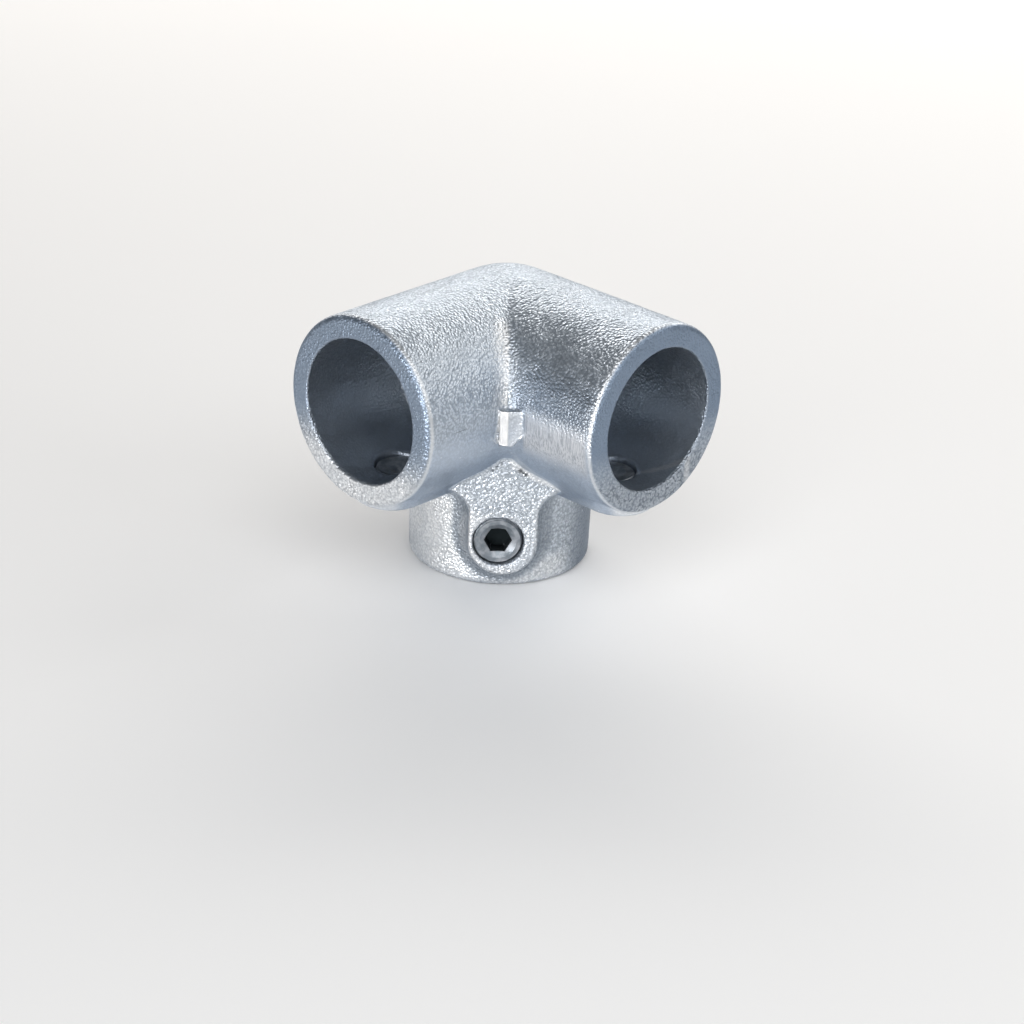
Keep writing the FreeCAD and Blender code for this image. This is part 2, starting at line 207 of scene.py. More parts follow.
def bead_distance(across, down, out, path):
    """A round bead along straight runs between points (across, down) in the plane of the gate's burrs."""
    runs = []
    for (start_across, start_down), (end_across, end_down) in zip(path[:-1], path[1:]):
        run_across, run_down = end_across - start_across, end_down - start_down
        share = (across - start_across) * run_across + (down - start_down) * run_down
        share = np.clip(share / (run_across ** 2 + run_down ** 2), 0, 1)
        gap = np.hypot(across - start_across - share * run_across, down - start_down - share * run_down)
        runs.append(np.hypot(gap, out - burr_plane) - burr_radius)
    return np.minimum.reduce(runs)


def corner_places(points):
    """Millimetres from the work point: along x, y and z, then out of, across and down the inside corner."""
    x, y, z = ((points - work_point) / MM).T
    return x, y, z, (x - y) / sqrt(2), (x + y) / sqrt(2), -z


def casting_distance(points):
    """Millimetres from the casting's skin: sockets and pads joined with rounds, less the bores and holes."""
    x, y, z, out, across, down = corner_places(points)
    right_out, left_out, upright_out = np.hypot(y, z), np.hypot(x, z), np.hypot(x, y)
    taper = upright_draft * np.clip(down / (upright_reach - lip_round), 0, 1)
    right = socket_distance(x, right_out, socket_radius, rail_reach)
    left = socket_distance(-y, left_out, socket_radius, rail_reach)
    upright = socket_distance(down, upright_out, socket_radius - taper, upright_reach)
    right_normal, left_normal = unit(np.minimum(x, 0), y, z), unit(x, np.maximum(y, 0), z)
    upright_normal = unit(x, y, np.maximum(z, 0))
    rail_normal = np.where(right < left, right_normal, left_normal)
    body = rounded_union(right, left, crease_round * corner_share(right_normal, left_normal))
    body = rounded_union(body, upright, foot_round * corner_share(rail_normal, upright_normal))
    right_cove = rail_pad_cove + (rail_pad_seam - rail_pad_cove) * fade(x, rail_seam_start, rail_seam_full)
    left_cove = rail_pad_cove + (rail_pad_seam - rail_pad_cove) * fade(-y, rail_seam_start, rail_seam_full)
    body = rounded_union(body, rail_pad_distance(x, y, down), right_cove)
    body = rounded_union(body, rail_pad_distance(-y, x, down), left_cove)
    body = np.maximum(body, np.maximum(x, -y) - rail_reach)
    cove_share = fade(down, upright_cove_start, upright_cove_full)
    cove = upright_pad_seam + (upright_pad_cove - upright_pad_seam) * cove_share
    body = rounded_union(body, upright_pad_distance(across, down, out), cove)
    body = rounded_union(body, gate_distance(across, down, out), gate_seam)
    burrs = [bead_distance(across, down, out, path) for path in (foot_burr, break_burr)]
    body = rounded_union(body, np.minimum.reduce(burrs), burr_seam)
    bores = [np.maximum(right_out - bore_radius, stop_place - x)]
    bores += [np.maximum(left_out - bore_radius, stop_place + y)]
    bores += [np.maximum(upright_out - bore_radius, stop_place - down)]
    necks = [np.maximum(right_out - neck_radius, -x), np.maximum(left_out - neck_radius, y)]
    necks += [np.maximum(upright_out - neck_radius, -down), np.sqrt(x * x + y * y + z * z) - neck_radius]
    body = rounded_overlap(body, -np.minimum.reduce(bores + necks), bore_rim)
    holes = [np.maximum(np.hypot(x - rail_station, y) - hole_radius, -down)]
    holes += [np.maximum(np.hypot(y + rail_station, x) - hole_radius, -down)]
    upright_hole = np.hypot(across - upright_hole_side, down - upright_hole_down) - hole_radius
    holes += [np.maximum(upright_hole, -out)]
    return rounded_overlap(body, -np.minimum.reduce(holes), hole_rim)


def drawn_onto(points, distance, rounds):
    """Each point steps along the slope of the distance to where it is zero, and again for each round."""
    step = 0.02 * MM
    least_slope = 0.25
    for _ in range(rounds):
        shifts = np.eye(3) * step
        rises = [distance(points + shift) - distance(points - shift) for shift in shifts]
        slope = np.stack(rises, axis=1) * (MM / 2 / step)
        move = distance(points) / np.maximum((slope * slope).sum(axis=1), least_slope)
        points = points - slope * np.clip(move, -1, 1)[:, None] * MM
    return points


def relaxed(points, edges, rounds, share):
    """Each point moves a share of the way to the mean of its neighbours, and again for each round."""
    count = np.bincount(edges.ravel(), minlength=len(points))
    ends = np.concatenate((edges[:, 0], edges[:, 1]))
    others = np.concatenate((edges[:, 1], edges[:, 0]))
    for _ in range(rounds):
        sums = [np.bincount(ends, points[others, axis], len(points)) for axis in range(3)]
        points = points + share * ((np.stack(sums) / count).T - points)
    return points


def net_over(node, size):
    """A mesh of even cells over a solid: its triangles are merged at their corners and voxel remeshed."""
    work = bpy.data.objects.new("work", node.data.copy())
    bpy.context.scene.collection.objects.link(work)
    weld = work.modifiers.new("weld", "WELD")
    weld.merge_threshold = 0.001 * MM
    remesh = work.modifiers.new("remesh", "REMESH")
    remesh.mode = "VOXEL"
    remesh.voxel_size = size
    mesh = bpy.data.meshes.new_from_object(work.evaluated_get(bpy.context.evaluated_depsgraph_get()))
    bpy.data.objects.remove(work)
    return mesh


def refined(mesh, chosen):
    """The mesh with each chosen face cut into four, and its neighbours fitted to the new points."""
    mesh.polygons.foreach_set("select", chosen)
    work = bmesh.new()
    work.from_mesh(mesh)
    edges = [edge for edge in work.edges if any(face.select for face in edge.link_faces)]
    bmesh.ops.subdivide_edges(work, edges=edges, cuts=1, use_grid_fill=True)
    work.to_mesh(mesh)
    work.free()
    return mesh


def face_centres(mesh):
    """The middles of the mesh's faces as one array of points."""
    flat = np.empty(len(mesh.polygons) * 3)
    mesh.polygons.foreach_get("center", flat)
    return flat.reshape(-1, 3)


def near_lips_and_pad(points):
    """True close to the rails' lips, and on the inside corner with the upright's pad and the gate stub."""
    x, y, z, out, across, down = corner_places(points)
    lips = np.maximum(x, -y) > rail_reach - np.where(down > low_lip_down, fine_low_lip, fine_lip)
    return lips | ((out > fine_pad_out) & (np.abs(across) < fine_pad_half) & (z < fine_pad_top))


def near_gate(points):
    """True on the gate stub and just round it."""
    out, across, down = corner_places(points)[3:]
    level = (down > gate_top - fine_gate_margin) & (down < gate_foot + fine_gate_margin)
    return level & (out > fine_gate_out) & (np.abs(across - gate_middle) < fine_gate_half)


def positions(mesh):
    """The mesh's vertices as one array of points."""
    flat = np.empty(len(mesh.vertices) * 3)
    mesh.vertices.foreach_get("co", flat)
    return flat.reshape(-1, 3)


def vertex_normals(mesh):
    """The mesh's vertex normals as one array of unit vectors."""
    flat = np.empty(len(mesh.vertices) * 3)
    mesh.vertex_normals.foreach_get("vector", flat)
    return flat.reshape(-1, 3)


def lattice_noise(points, size, seed):
    """Smooth noise from -1 to 1: seeded values on a cubic lattice of that size, blended by smooth steps."""
    cell = points / size
    cell = cell - cell.min(axis=0)
    corner = np.floor(cell).astype(int)
    blend = fade(cell - corner, 0, 1)
    values = np.random.default_rng(seed).uniform(-1, 1, corner.max(axis=0) + 2)
    total = np.zeros(len(points))
    for step in np.ndindex(2, 2, 2):
        weight = np.prod(np.where(step, blend, 1 - blend), axis=1)
        total += weight * values[tuple((corner + step).T)]
    return total


def set_mark(mesh, name, values):
    """One number for each vertex, kept in the mesh under that name for the material to read."""
    attribute = mesh.attributes.new(name, "FLOAT", "POINT")
    attribute.data.foreach_set("value", np.ascontiguousarray(values, dtype=np.float32))


casting_mesh = net_over(frame["nodes"]["corner_casting"], net_size)
casting_mesh = refined(casting_mesh, near_lips_and_pad(face_centres(casting_mesh)))
casting_mesh = refined(casting_mesh, near_gate(face_centres(casting_mesh)))
casting_edges = np.empty(len(casting_mesh.edges) * 2, dtype=np.int64)
casting_mesh.edges.foreach_get("vertices", casting_edges)
casting_edges = casting_edges.reshape(-1, 2)
skin = drawn_onto(positions(casting_mesh), casting_distance, rounds=4)
skin = relaxed(skin, casting_edges, rounds=3, share=0.5)
skin = drawn_onto(skin, casting_distance, rounds=3)
casting_mesh.vertices.foreach_set("co", skin.ravel())
casting_mesh.update()
skin_normals = vertex_normals(casting_mesh)
ripple = lattice_noise(skin, ripple_size, 11) + 0.5 * lattice_noise(skin, ripple_size / 2.2, 12)
skin = skin + skin_normals * (ripple * ripple_height / 1.5 - ripple_height)[:, None]
skin = np.clip(skin, np.array(cad_box[0]), np.array(cad_box[1]))
casting_mesh.vertices.foreach_set("co", skin.ravel())
casting_mesh.polygons.foreach_set("use_smooth", np.ones(len(casting_mesh.polygons), dtype=bool))
casting_mesh.update()
casting = bpy.data.objects.new("galvanised_casting", casting_mesh)
bpy.context.scene.collection.objects.link(casting)

skin_x, skin_y, skin_z, skin_out, skin_across, skin_down = corner_places(skin)
mouth_gap = np.maximum(skin_x, -skin_y) - rail_reach
pad_gap = skin_out - upright_pad_face
right_gap = np.hypot(skin_y, skin_z) - socket_radius
facing_corner = (skin_normals[:, 0] - skin_normals[:, 1]) / sqrt(2)
on_mouth = fade(mouth_gap, -1.4, -0.8)

# The flat face of the upright's pad, the gate's ground face, brightest on its slanted third, and the belt of
# linished metal on the right rail beside the gate.
pad_mark = band(pad_gap, -0.9, -0.3, 0.3, 1) * fade(facing_corner, 0.8, 0.95) * fade(skin_down, 17, 19)
gate_mark = fade(skin_out - gate_face, -1.2, -0.7) * fade(facing_corner, 0.85, 0.95)
gate_mark = gate_mark * (1 - fade(np.abs(skin_across - gate_middle), 4.0, 4.6))
gate_mark = gate_mark * (1 - 0.78 * fade(skin_across - gate_left - gate_tilt_width, 0, 0.5))
belt_mark = band(skin_x, 33, 37, 66, 68) * fade(-skin_y, 26, 30)
belt_mark = belt_mark * band(skin_down, -6, 1, 8, 16) * fade(skin_across, 4.6, 5.6)

# Painted shade in the bores with the cored middle and on the upper part of the rails' flat mouths, and
# the smooth zinc that ran together on the inside of the corner, whose blue-grey is partly painted shade.
axis_gaps = [np.linalg.norm(skin - work_point, axis=1) / MM]
axis_gaps += [np.where(skin_x > 0, np.hypot(skin_y, skin_z), np.inf)]
axis_gaps += [np.where(skin_y < 0, np.hypot(skin_x, skin_z), np.inf)]
axis_gaps += [np.where(skin_down > 0, np.hypot(skin_x, skin_y), np.inf)]
bore_mark = 1 - fade(np.minimum.reduce(axis_gaps) - bore_radius, 0.2, 0.7)
mouth_mark = on_mouth * fade(skin_z, -22, -2) * (0.85 + 0.15 * fade(skin_x, 60, 68))
# The smooth zinc has less grain, and its blue-grey colour is partly painted shade under the rails.
smooth_mark = band(skin_down, -5, 8, 36, 42) * (1 - pad_mark) * fade(skin_out, 2, 20)
smooth_mark = smooth_mark * (1 - fade(mouth_gap, -1.6, -1))

# The pad's upper right rim, with a painted highlight, and the rail just above it, with a painted reflection.
rim_highlight_mark = band(pad_gap, -1.1, -0.5, 0.8, 1.4) * fade(skin_across, 0.5, 2.5)
rim_highlight_mark = rim_highlight_mark * (1 - fade(right_gap, 1.2, 2.6)) * band(skin_down, 16, 18, 35, 37)
above_rim_reflection = band(pad_gap, 0.4, 1.6, 3.5, 6) * band(skin_across, 1, 5, 16, 22) * fade(skin_down, 12, 16)

# Painted shade in the recesses: the seams, the notch behind the rails' lips and the cove round the upright's
# pad.
seam_mark = 0.5 - 0.5 * fade(casting_distance(skin + skin_normals * recess_probe), 2.0, 3.9)
seam_mark = seam_mark * fade(skin_down, 14, 20) * (1 - np.maximum(rim_highlight_mark, above_rim_reflection))
notch_mark = 0.6 * band(mouth_gap, -3.2, -2.2, -1.8, -1) * fade(skin_down, 27, 30)
cove_mark = 0.8 * (1 - fade(shield_distance(skin_across, skin_down), 4.0, 6.4)) * fade(skin_down, 34, 40)
cove_mark = cove_mark * (1 - fade(pad_gap, -2, -0.6)) * fade(skin_out, 5, 15)
recess_shade_mark = np.maximum.reduce((seam_mark, notch_mark, cove_mark))

# Edges where the zinc is rubbed, and a painted highlight on the rails' lips, strongest towards the inside
# corner.
wear_and_highlight_mark = 0.3 * fade(casting_distance(skin - skin_normals * edge_probe), -3.05, -2.2)
wear_and_highlight_mark = wear_and_highlight_mark * (1 - fade(mouth_gap, -5, -3))
lip_highlight_mark = band(mouth_gap, -2.4, -1.9, -1.4, -0.8) * (0.3 + 0.7 * fade(facing_corner, 0.15, 0.5))
wear_and_highlight_mark = np.maximum(wear_and_highlight_mark, lip_highlight_mark) * (1 - bore_mark)

# Coarse, pitted zinc on the lower part of the rails' mouths and, half as strong, on the upright's front.
coarse_mark = 0.5 * fade(skin_down, 34, 44) * (1 - pad_mark) * fade(skin_out, -8, 14)
coarse_mark = np.maximum(coarse_mark, on_mouth * fade(skin_down, 4, 20))

# Painted light, a near white zinc where light falls: the upright's left and foot, the left mouth's lower
# part, the ends of the rail pads, a strip beside the crease, and the upright's pad with its rim.
upright_left = fade(-skin_across, 0, 12) * fade(skin_down, 38, 44) * fade(skin_out, -5, 8)
upright_foot = 0.7 * fade(skin_down, 58, 65) * fade(skin_out, 0, 15) * (1 - fade(skin_across, 18, 26))
left_mouth = fade(-skin_y - rail_reach, -1.6, -1) * fade(skin_down, 8, 22)
pad_ends = 0.7 * fade(mouth_gap, -11, -7) * fade(skin_down, 29, 33)
crease_strip = band(skin_across, -7.0, -2.4, -0.9, -0.3) * fade(skin_out, 28, 34)
crease_strip = crease_strip * (1 - fade(skin_down, -4, -1.5)) * fade(facing_corner, 0.2, 0.5)
painted_light_mark = np.maximum.reduce((upright_left, upright_foot, left_mouth, pad_ends)) * (1 - cove_mark)
painted_light_mark = np.maximum.reduce((painted_light_mark, crease_strip, 0.2 * pad_mark, rim_highlight_mark, 0.5 * above_rim_reflection))

# Painted shade, a dark zinc where shade falls: the upright's far right, the right mouth's lower part, and
# the right rail above its belt and beside the crease above the gate.
upright_right = fade(skin_across, 21, 29) * fade(skin_down, 34, 40) * fade(skin_out, -8, 2)
right_mouth = 0.5 * fade(skin_x - rail_reach, -1.4, -0.8) * fade(skin_down, 8, 22)
above_belt = 0.8 * band(skin_x, 34, 40, 64, 68) * fade(-skin_y, 22, 27) * band(skin_down, -20, -13, -5, -1)
above_gate = 0.8 * band(skin_across, 0.2, 0.9, 3.5, 6) * fade(skin_out, 40, 43)
above_gate = above_gate * band(skin_down, -14, -9, -2.6, -2.2)
painted_shade_mark = np.maximum.reduce((upright_right, right_mouth, above_belt, above_gate))

# A painted shadow line at the gate's left edge, and soil: a pit and flecks at the top of the upright's pad.
soil_and_shadow_mark = 0.6 * (1 - fade(np.abs(skin_across - gate_left), 0.2, 0.6)) * fade(skin_out, 44, 46)
soil_and_shadow_mark = soil_and_shadow_mark * band(skin_down, gate_top, gate_top + 1, 8, 9)
for spot_across, spot_down, spot_size in soil_spots:
    spot_gap = np.hypot(skin_across - spot_across, skin_down - spot_down)
    soil_and_shadow_mark = np.maximum(soil_and_shadow_mark, (1 - fade(spot_gap, 0.5 * spot_size, spot_size)) * pad_mark)

finish_marks = {
    "pad_face": pad_mark, "ground": gate_mark, "linished": belt_mark, "bore": bore_mark,
    "mouth": mouth_mark, "smooth": smooth_mark, "recess_shade": recess_shade_mark, "edge": wear_and_highlight_mark,
    "coarse": coarse_mark, "painted_light": painted_light_mark, "painted_shade": painted_shade_mark, "soil_and_shadow": soil_and_shadow_mark,
}
for name, values in finish_marks.items():
    set_mark(casting_mesh, name, values)


def add_node(tree, kind, inputs=(), **settings):
    """A node of that kind: its settings, then its inputs by name or number, each a value or an output."""
    node = tree.nodes.new("ShaderNode" + kind)
    for name, value in settings.items():
        setattr(node, name, value)
    for name, value in dict(inputs).items():
        if isinstance(value, bpy.types.NodeSocket):
            tree.links.new(value, node.inputs[name])
        else:
            node.inputs[name].default_value = value
    return node


def calc(tree, operation, *terms):
    """The output of a Math node on these terms."""
    return add_node(tree, "Math", enumerate(terms), operation=operation).outputs[0]


def times(tree, one, other):
    """The product of two values."""
    return calc(tree, "MULTIPLY", one, other)


def plus(tree, one, other):
    """The sum of two values."""
    return calc(tree, "ADD", one, other)


def less(tree, one, other):
    """The first value less the second."""
    return calc(tree, "SUBTRACT", one, other)


def mixed(tree, share, low, high):
    """The colour that lies that share of the way from low to high, by the Mix node's colour sockets."""
    share_socket, low_socket, high_socket, colour_result = 0, 6, 7, 2
    inputs = {share_socket: share, low_socket: low, high_socket: high}
    return add_node(tree, "Mix", inputs, data_type="RGBA").outputs[colour_result]


def stepped(tree, value, low, high):
    """A value that goes smoothly from 0 at low to 1 at high."""
    inputs = {"Value": value, "From Min": low, "From Max": high}
    return add_node(tree, "MapRange", inputs, interpolation_type="SMOOTHSTEP").outputs["Result"]


def spread(tree, value, low, high):
    """The usual range of a noise, 0.3 to 0.7, spread evenly over low to high."""
    inputs = {"Value": value, "From Min": 0.3, "From Max": 0.7, "To Min": low, "To Max": high}
    return add_node(tree, "MapRange", inputs).outputs["Result"]


def noise(tree, place, scale, detail):
    """The value of a Noise texture at that place, with so many cells to the metre."""
    inputs = {"Vector": place, "Scale": scale, "Detail": detail}
    return add_node(tree, "TexNoise", inputs).outputs["Fac"]


def mark(tree, name):
    """The mark of that name on the mesh, as a value."""
    return add_node(tree, "Attribute", attribute_name=name).outputs["Fac"]


def uneven_finish_group():
    """A node group: a noise over the surface, and the roughness that it gives, from Low to High."""
    group = bpy.data.node_groups.new("uneven_finish", "ShaderNodeTree")
    group.interface.new_socket("Vector", in_out="INPUT", socket_type="NodeSocketVector")
    for name in ("Scale", "Detail", "Low", "High"):
        group.interface.new_socket(name, in_out="INPUT", socket_type="NodeSocketFloat")
    for name in ("Cloud", "Roughness"):
        group.interface.new_socket(name, in_out="OUTPUT", socket_type="NodeSocketFloat")
    given = group.nodes.new("NodeGroupInput").outputs
    result = group.nodes.new("NodeGroupOutput").inputs
    cloud = noise(group, given["Vector"], given["Scale"], given["Detail"])
    group.links.new(cloud, result["Cloud"])
    group.links.new(spread(group, cloud, given["Low"], given["High"]), result["Roughness"])
    return group


zinc_grey, zinc_light = (0.60, 0.65, 0.71, 1), (0.69, 0.74, 0.80, 1)
zinc_glint = (0.66, 0.71, 0.77, 1)
# A blue-grey for the smooth zinc, partly painted shade under the rails.
smooth_zinc = (0.50, 0.57, 0.67, 1)
# A near white for painted light.
painted_light_zinc = (0.96, 0.97, 0.98, 1)
# A dark grey for painted shade.
painted_shade_zinc = (0.21, 0.24, 0.29, 1)
gap_grey = (0.26, 0.30, 0.35, 1)
pit_grey = (0.11, 0.13, 0.16, 1)
# A light grey for painted glints.
glint_white = (0.88, 0.91, 0.94, 1)
worked_iron = (0.90, 0.90, 0.91, 1)
# A slate grey for painted shade on the mouths' upper part.
mouth_zinc = (0.23, 0.29, 0.38, 1)
# A dark grey for painted shade in recesses.
recess_shade_grey = (0.22, 0.25, 0.29, 1)
# A light grey for rubbed edges and painted highlights on the lips.
wear_and_highlight_white = (0.92, 0.93, 0.94, 1)
ground_iron = (0.97, 0.97, 0.97, 1)
streak_grey = (0.34, 0.37, 0.41, 1)
# A slate grey for painted shade in the bores.
bore_zinc = (0.34, 0.38, 0.43, 1)
parting_grey = (0.16, 0.18, 0.21, 1)
# A near black for soil and a painted shadow line.
soil_and_shadow_black = (0.07, 0.08, 0.09, 1)
parting_level = work_point[2] - 0.2 * MM
parting_waver = 1.5 * MM
parting_width = (0.08 * MM, 0.26 * MM)
parting_side = 30 * MM
parting_start = (-69 * MM, -66 * MM)
parting_end = (-56 * MM, -47 * MM)
uneven_finish = uneven_finish_group()
zinc = bpy.data.materials.new("galvanised_iron")
zinc.use_nodes = True
tree = zinc.node_tree
shader = tree.nodes["Principled BSDF"]
place = add_node(tree, "TexCoord").outputs["Object"]
marked = {name: mark(tree, name) for name in finish_marks}

# Patterns in the zinc: a fine peel over beads, lumps, swells and clouds, ripples that run level on the pad,
# upright scratches, scattered painted glints, and patches in which the grain is stronger.
peel_inputs = {"Vector": place, "Scale": 2100, "Detail": 1.5, "Roughness": 0.55}
peel = add_node(tree, "TexNoise", peel_inputs).outputs["Fac"]
beads = add_node(tree, "TexVoronoi", {"Vector": place, "Scale": 1050}).outputs["Distance"]
lumps = add_node(tree, "TexVoronoi", {"Vector": place, "Scale": 850}).outputs["Distance"]
finish_inputs = {"Vector": place, "Scale": 210, "Detail": 1.5, "Low": 0.30, "High": 0.42}
finish = add_node(tree, "Group", finish_inputs, node_tree=uneven_finish).outputs
cloud = noise(tree, place, 55, 3)
wave_inputs = {"Vector": place, "Rotation": (0, 0, radians(-45)), "Scale": (0.4, 1, 1)}
waves = noise(tree, add_node(tree, "Mapping", wave_inputs).outputs[0], 850, 2)
scratch_inputs = {"Vector": place, "Scale": (1, 1, 0.025)}
scratch = noise(tree, add_node(tree, "Mapping", scratch_inputs).outputs[0], 3400, 3)
cells = add_node(tree, "TexVoronoi", {"Vector": place, "Scale": 900}).outputs
glint_spot = less(tree, 1, stepped(tree, cells["Distance"], 0.25, 0.45))
glint_mask = times(tree, stepped(tree, cells["Color"], 0.90, 0.93), glint_spot)
patch = plus(tree, 0.75, times(tree, stepped(tree, cloud, 0.35, 0.65), 0.45))

# The mould's parting line: fine, broken and dark, at mid height along the inner side of the left rail, and
# gone before it reaches the corner.
parts = add_node(tree, "SeparateXYZ", {"Vector": place}).outputs
parting_gap = calc(tree, "ABSOLUTE", less(tree, parts["Z"], parting_level))
parting_gap = less(tree, parting_gap, times(tree, less(tree, cloud, 0.5), parting_waver))
parting = less(tree, 1, stepped(tree, calc(tree, "ABSOLUTE", parting_gap), *parting_width))
parting = times(tree, parting, stepped(tree, peel, 0.36, 0.5))
parting = times(tree, parting, calc(tree, "GREATER_THAN", parts["X"], parting_side))
parting = times(tree, parting, stepped(tree, parts["Y"], *parting_start))
parting = times(tree, parting, less(tree, 0.75, stepped(tree, parts["Y"], *parting_end)))

# Relief: the cast grain, weaker where the zinc is smooth or worked, the lumps of coarse zinc, the pad's
# ripples, and scratches where the metal is worked.
worked = calc(tree, "MAXIMUM", marked["ground"], times(tree, marked["linished"], 0.8))
as_cast = less(tree, 1, times(tree, marked["smooth"], 0.65))
as_cast = times(tree, as_cast, less(tree, 1, times(tree, worked, 0.75)))
grain_height = less(tree, times(tree, peel, 0.18), times(tree, beads, 0.50))
grain_height = times(tree, grain_height, times(tree, as_cast, patch))
lump_height = times(tree, lumps, times(tree, marked["coarse"], -0.22))
grain_height = plus(tree, grain_height, times(tree, lump_height, patch))
wave_height = times(tree, waves, marked["pad_face"])
scratch_height = times(tree, scratch, times(tree, worked, 0.5))
height = plus(tree, grain_height, times(tree, finish["Cloud"], 0.35))
height = plus(tree, height, plus(tree, wave_height, scratch_height))
bump = add_node(tree, "Bump", {"Height": height, "Distance": 0.52 * MM, "Strength": 1.0})

# Colour: clouds of two greys, and over them the colour of each kind of area and mark, one after the other,
# among them painted light, painted shade, painted highlights and painted glints.
gaps = times(tree, stepped(tree, beads, 0.32, 0.64), as_cast)
gaps = times(tree, gaps, less(tree, 0.6, times(tree, marked["painted_light"], 0.35)))
pits = times(tree, stepped(tree, lumps, 0.46, 0.72), times(tree, marked["coarse"], patch))
pits = times(tree, pits, less(tree, 0.6, times(tree, marked["painted_light"], 0.27)))
bare = stepped(tree, marked["ground"], 0.6, 0.9)
streak = times(tree, worked, stepped(tree, scratch, 0.46, 0.60))
streak = times(tree, streak, less(tree, 1, bare))
coats = (
    (times(tree, marked["smooth"], 0.72), smooth_zinc),
    (times(tree, marked["painted_light"], patch), painted_light_zinc),
    (times(tree, marked["painted_shade"], 0.85), painted_shade_zinc),
    (gaps, gap_grey),
    (pits, pit_grey),
    (times(tree, glint_mask, 0.55), glint_white),
    (times(tree, worked, 0.9), worked_iron),
    (marked["mouth"], mouth_zinc),
    (times(tree, marked["recess_shade"], 0.7), recess_shade_grey),
    (times(tree, marked["edge"], 0.6), wear_and_highlight_white),
    (bare, ground_iron),
    (times(tree, streak, 0.75), streak_grey),
    (times(tree, marked["bore"], 0.7), bore_zinc),
    (parting, parting_grey),
    (times(tree, marked["soil_and_shadow"], 0.9), soil_and_shadow_black),
)
zinc_colour = mixed(tree, stepped(tree, cloud, 0.35, 0.68), zinc_grey, zinc_light)
for share, colour in coats:
    zinc_colour = mixed(tree, share, zinc_colour, colour)
tree.links.new(zinc_colour, shader.inputs["Base Color"])
tree.links.new(finish["Roughness"], shader.inputs["Roughness"])
tree.links.new(bump.outputs["Normal"], shader.inputs["Normal"])
shader.inputs["Metallic"].default_value = 0.9
shader.inputs["Specular Tint"].default_value = zinc_glint
casting_mesh.materials.clear()
casting_mesh.materials.append(zinc)
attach(casting, "casting")
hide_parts("corner_casting")

# The set screws: three cup-point grub screws of dull steel with a rolled pipe thread, one in each pad.
# Each is turned and threaded bar, with a hexagon socket broached through a wide conical lead in its face.
screw_radius = 8.33
thread_pitch = 1.337
thread_depth = 0.8
screw_chamfer = 0.6
rim_inside = 6.3
lead_slope = 0.62
key_half_width = 4.2
key_depth = 6.0
cup_radius = 5.2
cup_depth = 2.0
screw_length = 12.0
key_floor_dip = 0.3
key_dark_top, key_dark_foot, key_dark_side = (0.9, 1.6), (3.0, 3.6), (4.75, 4.95)
screw_columns = 180
cup_rows, thread_rows, lead_rows, floor_rows = 8, 96, 26, 6
dark_steel, worn_steel = (0.25, 0.28, 0.31, 1), (0.41, 0.43, 0.46, 1)
# A near black for the painted shade deep in the hexagon key.
key_shade_black = (0.012, 0.017, 0.019, 1)


def screw_grid(length):
    """A closed lathe surface by turn and by row, from the cup's middle round the thread to the key's floor.

    The thread's radius is a triangle wave of height less turn. The key's wall is the larger of a cone and a
    hexagon.
    """
    turn = np.linspace(0, 2 * pi, screw_columns, endpoint=False)[None, :]
    flat = key_half_width / np.cos(turn % (pi / 3) - pi / 6)
    cup = np.linspace(0, 1, cup_rows)[:, None]
    cup_out, cup_up = cup * cup_radius, cup_depth * (1 - cup)
    body_up = np.linspace(0, length, thread_rows)[:, None]
    wave = np.abs((body_up / thread_pitch - turn / (2 * pi)) % 1 * 2 - 1)
    taper = np.minimum(np.minimum(body_up, length - body_up) / screw_chamfer, 1)
    body_out = screw_radius - thread_depth * wave * taper - screw_chamfer * (1 - taper)
    lead = np.linspace(0, 1, lead_rows)[:, None]
    lead_down = lead * (rim_inside - key_half_width) * lead_slope
    lead_out = np.maximum(rim_inside - lead_down / lead_slope, flat)
    floor = np.linspace(1, 0, floor_rows)[:, None]
    floor_out = floor * flat
    rows_out = [cup_out + 0 * turn, body_out, lead_out, floor_out]
    rows_up = [cup_up + 0 * turn, body_up + 0 * turn, length - lead_down + 0 * turn]
    rows_up += [length - key_depth - (1 - floor) * key_floor_dip + 0 * turn]
    out, up = np.vstack(rows_out), np.vstack(rows_up)
    return np.stack((out * np.cos(turn), out * np.sin(turn), up), axis=-1)


def closed_grid_mesh(name, grid):
    """A mesh over rows and turns of points: four-sided faces, and three-sided ones to a point at each end.

    The first and last rows are one point each, and each other row is a ring, numbered after the row before.
    """
    rows, columns = grid.shape[:2]
    ring = np.arange(columns)
    after = np.roll(ring, -1)
    last = 1 + (rows - 2) * columns
    start = 1 + columns * np.arange(rows - 3)[:, None]
    first_faces = np.stack((0 * ring, 1 + after, 1 + ring), axis=-1)
    above = start + columns
    ring_faces = np.stack((start + ring, start + after, above + after, above + ring), axis=-1)
    last_faces = np.stack((last - columns + ring, last - columns + after, last + 0 * ring), axis=-1)
    faces = first_faces.tolist() + ring_faces.reshape(-1, 4).tolist() + last_faces.tolist()
    points = np.concatenate((grid[:1, 0], grid[1:-1].reshape(-1, 3), grid[-1:, 0]))
    mesh = bpy.data.meshes.new(name)
    mesh.from_pydata(points.tolist(), [], faces)
    return mesh


screw_steel = bpy.data.materials.new("screw_steel")
screw_steel.use_nodes = True
tree = screw_steel.node_tree
shader = tree.nodes["Principled BSDF"]
place = add_node(tree, "TexCoord").outputs["Object"]
finish_inputs = {"Vector": place, "Scale": 420, "Detail": 3, "Low": 0.28, "High": 0.5}
finish = add_node(tree, "Group", finish_inputs, node_tree=uneven_finish).outputs
steel_colour = mixed(tree, stepped(tree, finish["Cloud"], 0.38, 0.66), dark_steel, worn_steel)
